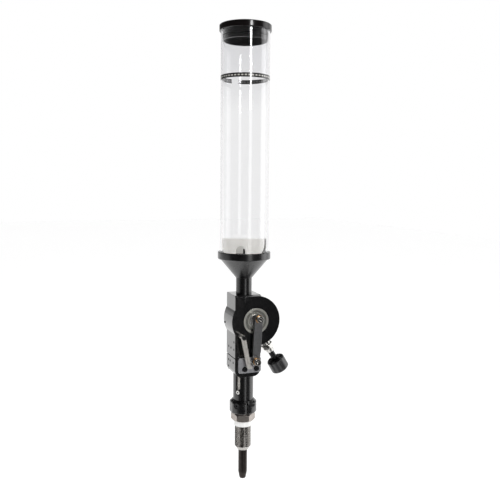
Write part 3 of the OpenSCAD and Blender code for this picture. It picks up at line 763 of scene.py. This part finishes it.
def add_edge_break(obj: bpy.types.Object, width: float, angle: float = 32.0) -> None:
    """Rounds an object's sharp edges.

    Args:
        obj: the object.
        width: width of the rounding, in metres.
        angle: the smallest turn that counts as an edge, in degrees.
    """
    edge = obj.modifiers.new("edge_break", "BEVEL")
    edge.limit_method = "ANGLE"
    edge.angle_limit = math.radians(angle)
    edge.width = width
    edge.segments = 2
    edge.profile = 0.5
    edge.material = -1
    edge.use_clamp_overlap = False
    flats = obj.modifiers.new("flat_faces", "WEIGHTED_NORMAL")
    flats.mode = "FACE_AREA"
    flats.weight = 100
    flats.thresh = 0.01
    flats.keep_sharp = False


def rounded_copy(node: str, width: float) -> bpy.types.Object:
    """Copies a CAD node's shape and breaks its sharp edges.

    Args:
        node: the CAD node.
        width: width of the edge break, in metres.

    Returns:
        The new object.
    """
    work = bmesh.new()
    work.from_mesh(NODES[node].data)
    bmesh.ops.remove_doubles(work, verts=work.verts, dist=2e-6)
    bmesh.ops.dissolve_limit(
        work,
        angle_limit=math.radians(0.4),
        use_dissolve_boundaries=False,
        verts=work.verts,
        edges=work.edges,
        delimit=set(),
    )
    obj = to_object(work, node + "_finished")
    add_edge_break(obj, width)
    return obj


def settle(piece: bpy.types.Object, node: str) -> None:
    """Makes a new piece stand for a CAD node: it joins the node's body, and the node is hidden.

    Args:
        piece: the new piece.
        node: the CAD node it stands for.
    """
    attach(piece, BODY_OF[node])
    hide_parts(node)


@dataclass
class SubAssembly:
    """A group of pieces that are built and dressed together."""

    finishes: Finishes
    made: list[str] = field(default_factory=list)

    def keep(self, node: str, finish: str) -> None:
        """Keeps a CAD node's shape as it is and gives it a finish."""
        dressed(NODES[node], self.finishes.get(finish))
        self.made.append(node)

    def soften(self, node: str, finish: str, width: float) -> None:
        """Replaces a CAD node with a copy whose edges are broken.

        Args:
            node: the CAD node.
            finish: the finish's name.
            width: width of the edge break, in metres.
        """
        piece = dressed(rounded_copy(node, width), self.finishes.get(finish))
        settle(piece, node)
        self.made.append(piece.name)

    def build(self) -> None:
        """Builds and dresses the group's pieces."""
        raise NotImplementedError

    def report(self) -> str:
        """Names what was made."""
        return f"{type(self).__name__}: {len(self.made)} pieces: {', '.join(self.made)}"


@dataclass
class DieGroup(SubAssembly):
    """Threaded die body, seat ring, lock nut, clamp collar and guide tube."""

    crest_radius: float = 11.11 * MM
    pitch: float = 1.814 * MM
    thread_depth: float = 1.08 * MM
    thread_length: float = 29.5 * MM
    relief_radius: float = 10.2 * MM
    relief_top: float = 1.0 * MM
    nose_radius: float = 7.61 * MM
    bore_radius: float = 6.1 * MM
    steps: int = 72
    edge: float = 0.3 * MM
    mouth_edge: float = 0.4 * MM
    sharp_above: float = 24.0

    def build(self) -> None:
        """Builds and dresses the group's pieces."""
        piece = dressed(self.threaded_body(), self.finishes.get("thread_steel"))
        settle(piece, "die_body")
        self.made.append(piece.name)
        self.soften("seat_ring", "bright_plate", 0.2 * MM)
        self.soften("lock_nut", "nut_steel", 0.3 * MM)
        self.soften("clamp_collar", "black_turned", 0.3 * MM)
        self.soften("collar_screws", "black_oxide", 0.2 * MM)
        self.soften("guide_tube", "black_turned", 0.3 * MM)

    def _helix(self) -> bmesh.types.BMesh:
        """Sweeps one pitch of the thread's outline down a helix.

        Returns:
            An open threaded skin that runs a little past both ends.
        """
        crest, root = self.crest_radius, self.crest_radius - self.thread_depth
        flat = self.pitch / 8
        outline = [
            (crest, 0.0),
            (crest, -flat),
            (root, -self.pitch / 2 + flat / 2),
            (root, -self.pitch / 2 - flat / 2),
            (crest, -self.pitch),
        ]
        work = bmesh.new()
        turns = math.ceil(self.thread_length / self.pitch) + 2
        top = self.pitch
        verts = [work.verts.new((radius, 0.0, top + height)) for radius, height in outline]
        edges = [work.edges.new(pair) for pair in zip(verts, verts[1:])]
        bmesh.ops.spin(
            work,
            geom=verts + edges,
            cent=(0, 0, 0),
            axis=(0, 0, 1),
            dvec=(0, 0, -self.pitch / self.steps),
            angle=math.tau * turns,
            steps=self.steps * turns,
            use_merge=False,
            use_duplicate=False,
        )
        bmesh.ops.remove_doubles(work, verts=work.verts, dist=WELD)
        return work

    def _ring(
        self, work: bmesh.types.BMesh, radius: float, height: float
    ) -> list[bmesh.types.BMEdge]:
        """Adds one circle of edges.

        Args:
            work: the bmesh.
            radius: the circle's radius.
            height: its height.

        Returns:
            The circle's edges.
        """
        made = bmesh.ops.create_circle(
            work, radius=radius, segments=self.steps, cap_ends=False,
            matrix=Matrix.Translation((0, 0, height)),
        )
        return list({edge for vert in made["verts"] for edge in vert.link_edges})

    def threaded_body(self) -> bpy.types.Object:
        """Models the die body with its real helical thread.

        Returns:
            The finished piece.
        """
        low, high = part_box("die_body")
        work = self._helix()
        loops = []
        for height, side in ((0.0, 1.0), (-self.thread_length, -1.0)):
            everything = work.verts[:] + work.edges[:] + work.faces[:]
            cut = bmesh.ops.bisect_plane(
                work, geom=everything, plane_co=(0, 0, height), plane_no=(0, 0, side),
                clear_outer=True,
            )
            loops.append(
                [item for item in cut["geom_cut"] if isinstance(item, bmesh.types.BMEdge)]
            )
        top_loop = [edge for edge in loops[0] if edge.is_valid]
        end_loop = [edge for edge in loops[1] if edge.is_valid]
        rings = [
            self._ring(work, radius, height)
            for radius, height in (
                (self.relief_radius, 0.0),
                (self.relief_radius, self.relief_top),
                (self.crest_radius, self.relief_top),
                (self.crest_radius, high.z - self.edge),
                (self.crest_radius - self.edge, high.z),
                (self.bore_radius + self.edge, high.z),
                (self.bore_radius, high.z - self.edge),
                (self.bore_radius, low.z + self.mouth_edge),
                (self.bore_radius + self.mouth_edge, low.z),
                (self.nose_radius - self.edge, low.z),
                (self.nose_radius, low.z + self.edge),
            )
        ]
        chain = [top_loop, *rings, end_loop]
        for first, second in zip(chain, chain[1:]):
            bmesh.ops.bridge_loops(work, edges=first + second)
        bmesh.ops.remove_doubles(work, verts=work.verts, dist=WELD)
        bmesh.ops.recalc_face_normals(work, faces=work.faces)
        piece = to_object(work, "die_body_threaded")
        piece.data.set_sharp_from_angle(angle=math.radians(self.sharp_above))
        return piece


@dataclass
class DropGroup(SubAssembly):
    """Sliding spout, its sleeve, guide screw, spring and the fixed outlet tube."""

    def build(self) -> None:
        """Builds and dresses the group's pieces."""
        self.soften("spout", "blued_steel", 0.25 * MM)
        self.soften("drop_sleeve", "sleeve_satin", 0.2 * MM)
        self.soften("guide_screw", "bright_screw", 0.25 * MM)
        self.keep("return_spring", "spring_wire")
        self.keep("outlet_tube", "turned_steel")


@dataclass
class HousingGroup(SubAssembly):
    """Housing, base block, front plate, covers, gasket and their screws."""

    def build(self) -> None:
        """Builds and dresses the group's pieces."""
        self.soften("housing", "black_case", 0.3 * MM)
        self.soften("base_block", "black_case", 0.3 * MM)
        self.soften("front_plate", "grey_plate", 0.5 * MM)
        self.soften("plate_screws", "black_oxide", 0.2 * MM)
        self.soften("rear_cover", "black_case", 0.35 * MM)
        self.soften("rear_cover_screws", "black_oxide", 0.2 * MM)
        self.keep("seam_gasket", "rubber")
        self.soften("block_side_screws", "black_oxide", 0.1 * MM)
        self.soften("housing_side_screws", "black_oxide", 0.1 * MM)
        self.soften("tie_bolts", "black_oxide", 0.2 * MM)
        self.keep("neck_screw", "black_oxide")


@dataclass
class RotorGroup(SubAssembly):
    """Drum, ball bearings, hub, crank arm and the pins at its ends."""

    def build(self) -> None:
        """Builds and dresses the group's pieces."""
        for end in ("front", "rear"):
            self.soften(f"{end}_bearing_outer", "bearing_steel", 0.3 * MM)
            self.soften(f"{end}_bearing_inner", "bearing_steel", 0.3 * MM)
            self.keep(f"{end}_bearing_balls", "ball_steel")
            self.soften(f"{end}_bearing_cage", "cage_steel", 0.12 * MM)
        self.soften("rotor_drum", "drum_steel", 0.3 * MM)
        self.soften("drive_hub", "drum_steel", 0.3 * MM)
        self.soften("crank_arm", "satin_arm", 0.5 * MM)
        self.soften("arm_bush", "bronze", 0.25 * MM)
        self.soften("arm_screw", "bright_screw", 0.3 * MM)
        self.soften("drive_bush", "bronze", 0.25 * MM)
        self.soften("drive_pin", "bright_screw", 0.3 * MM)
        self.soften("catch_pin", "bright_screw", 0.25 * MM)


@dataclass
class MeteringGroup(SubAssembly):
    """Gland, piston, stem and adjuster knob."""

    def build(self) -> None:
        """Builds and dresses the group's pieces."""
        self.soften("metering_gland", "stem_steel", 0.3 * MM)
        self.keep("metering_piston", "stem_steel")
        self.soften("metering_stem", "black_oxide", 0.3 * MM)
        self.soften("adjuster_knob", "black_knob", 0.35 * MM)
        self.soften("knob_screw", "black_oxide", 0.1 * MM)


@dataclass
class LinkGroup(SubAssembly):
    """Post, screw and the short stop link."""

    def build(self) -> None:
        """Builds and dresses the group's pieces."""
        self.soften("link_post", "ground_bar", 0.3 * MM)
        self.soften("stop_link", "ground_bar", 0.12 * MM)
        self.soften("link_screw", "black_oxide", 0.3 * MM)


@dataclass
class HopperGroup(SubAssembly):
    """Funnel, clear tube, band, baffle, cap and their seals."""

    def build(self) -> None:
        """Builds and dresses the group's pieces."""
        self.soften("hopper_base", "black_turned", 0.35 * MM)
        self.soften("hopper_set_screws", "black_oxide", 0.15 * MM)
        self.keep("tube_gasket", "rubber")
        self.keep("hopper_tube", "clear_acrylic")
        self.keep("level_band", "band_print")
        self.soften("baffle", "folded_sheet", 0.2 * MM)
        self.soften("hopper_cap", "gloss_cap", 0.3 * MM)
        self.keep("cap_seal", "rubber")


# ----------------------------------------------------------------------- studio


@dataclass
class Studio:
    """Pale floor, soft light and the camera.

    Lengths are in metres and angles in degrees. The camera stands at azimuth, and aside turns
    it a little to put the object off the middle of its view.
    """

    azimuth: float = -20.0
    distance: float = 0.836
    height: float = 0.331
    pitch_down: float = 6.2
    focal: float = 45.5
    aside: float = 0.54
    roll: float = 0.45
    floor_drop: float = 0.25
    floor_reach: float = 0.3
    floor_glow: float = 0.2
    light_reach: float = 1.5
    floor_half: float = 5.0
    ceiling_tilt: tuple[float, float, float] = (-0.35, 0.0, 0.937)
    light_aim: tuple[float, float, float] = (0.0, 0.0, 0.2)

    def towards_camera(self, swing: float = 0.0, lift: float = 0.0) -> Vector:
        """Gives the direction from the object to the camera, or beside it.

        Args:
            swing: degrees to the camera's right.
            lift: degrees upwards.

        Returns:
            A unit vector.
        """
        turn = math.radians(self.azimuth + swing)
        rise = math.radians(lift)
        return Vector((
            math.sin(turn) * math.cos(rise), -math.cos(turn) * math.cos(rise), math.sin(rise)
        ))

    def floor(self) -> None:
        """Lays a plain pale floor below and behind the held object."""
        work = bmesh.new()
        bmesh.ops.create_grid(
            work, x_segments=2, y_segments=2, size=self.floor_half,
            matrix=Matrix.Translation(
                (0, self.floor_half - self.floor_reach, cad_low.z - self.floor_drop)
            ),
        )
        floor = to_object(work, "floor")
        graph = Graph("pale_floor")
        cloud = graph.noise(graph.place(), 3.0, 2.0)
        dressed(floor, graph.dress(
            Base_Color=graph.blend(cloud, (0.88, 0.88, 0.88), (0.9, 0.9, 0.9)),
            Roughness=0.9,
            Emission_Color=graph.blend(cloud, (0.98, 0.98, 0.98), (1.0, 1.0, 1.0)),
            Emission_Strength=self.floor_glow,
        ))

    def surround(self) -> None:
        """Sets a white surround that is dark on the camera's side and overhead."""
        graph = SurroundGraph("surround")
        look = graph.direction()
        front = Wire(graph, graph.ramp(
            graph.towards(look, self.towards_camera()),
            [(0.0, 1.0), (0.3, 1.0), (0.44, 0.75), (0.56, 0.12), (0.7, 0.03), (1.0, 0.02)],
        ))
        overhead = Wire(graph, graph.ramp(
            graph.towards(look, self.ceiling_tilt), [(0.585, 1.0), (0.645, 0.1), (1.0, 0.04)]
        ))
        side = Wire(graph, graph.ramp(
            graph.towards(look, (1.0, 0.0, 0.0)), [(0.38, 0.62), (0.55, 1.0)]
        ))
        through = graph.ramp(
            graph.towards(look, self.towards_camera()),
            [(0.0, 1.0), (0.3, 1.0), (0.42, 0.7), (0.6, 0.3), (1.0, 0.2)],
        )
        shade = graph.blend(graph.ray("Transmission"), (front * overhead * side).socket, through)
        shade = graph.blend(graph.ray("Diffuse"), shade, (0.95, 0.95, 0.95))
        shade = graph.blend(graph.ray("Camera"), shade, (1.0, 1.0, 1.0))
        graph.feed(graph.surface.inputs["Color"], shade)
        bpy.context.scene.world = graph.world

    def softbox(
        self, name: str, swing: float, lift: float, size: tuple[float, float], glow: float
    ) -> None:
        """Adds one soft area light that faces the object and isn't seen itself.

        Args:
            name: the light's name.
            swing: its place, in degrees to the camera's right.
            lift: its place, in degrees above the object.
            size: its width and height, in metres.
            glow: how bright its face is.
        """
        data = bpy.data.lights.new(name, "AREA")
        data.shape = "RECTANGLE"
        data.size, data.size_y = size
        data.energy = glow * math.pi * size[0] * size[1]
        light = bpy.data.objects.new(name, data)
        bpy.context.scene.collection.objects.link(light)
        middle = Vector(self.light_aim)
        light.location = middle + self.towards_camera(swing, lift) * self.light_reach
        light.rotation_mode = "QUATERNION"
        light.rotation_quaternion = (middle - light.location).to_track_quat("-Z", "Y")
        light.visible_camera = False

    def camera(self) -> None:
        """Places the camera."""
        data = bpy.data.cameras.new("view")
        data.sensor_width = 36.0
        data.lens = self.focal
        camera = bpy.data.objects.new("view", data)
        bpy.context.scene.collection.objects.link(camera)
        camera.location = self.towards_camera() * self.distance + Vector((0.0, 0.0, self.height))
        look = Euler(
            (math.radians(90.0 - self.pitch_down), 0.0, math.radians(self.azimuth - self.aside))
        ).to_matrix()
        look = look @ Matrix.Rotation(math.radians(self.roll), 3, "Z")
        camera.rotation_euler = look.to_euler()
        bpy.context.scene.camera = camera

    def build(self) -> None:
        """Sets up the whole studio."""
        self.camera()
        self.surround()
        self.floor()
        self.softbox("strip", 26.0, -4.0, (0.37, 1.7), 1.7)
        self.softbox("lamp", 26.0, 21.0, (0.17, 0.34), 26.0)
        self.softbox("side", 96.0, -2.0, (0.8, 1.7), 1.2)
        self.softbox("top", 82.0, 67.0, (0.6, 0.6), 2.7)
        scene = bpy.context.scene
        scene.view_settings.view_transform = "Standard"
        scene.view_settings.exposure = 0.0


def main() -> None:
    """Builds every group and the studio, and reports each."""
    logging.basicConfig(level=logging.INFO, format="%(name)s: %(message)s")
    Studio().build()
    finishes = Finishes()
    for kind in (
        DieGroup, DropGroup, HousingGroup, RotorGroup, MeteringGroup, LinkGroup, HopperGroup
    ):
        group = kind(finishes)
        group.build()
        LOG.info(group.report())


if __name__ == "__main__":
    main()
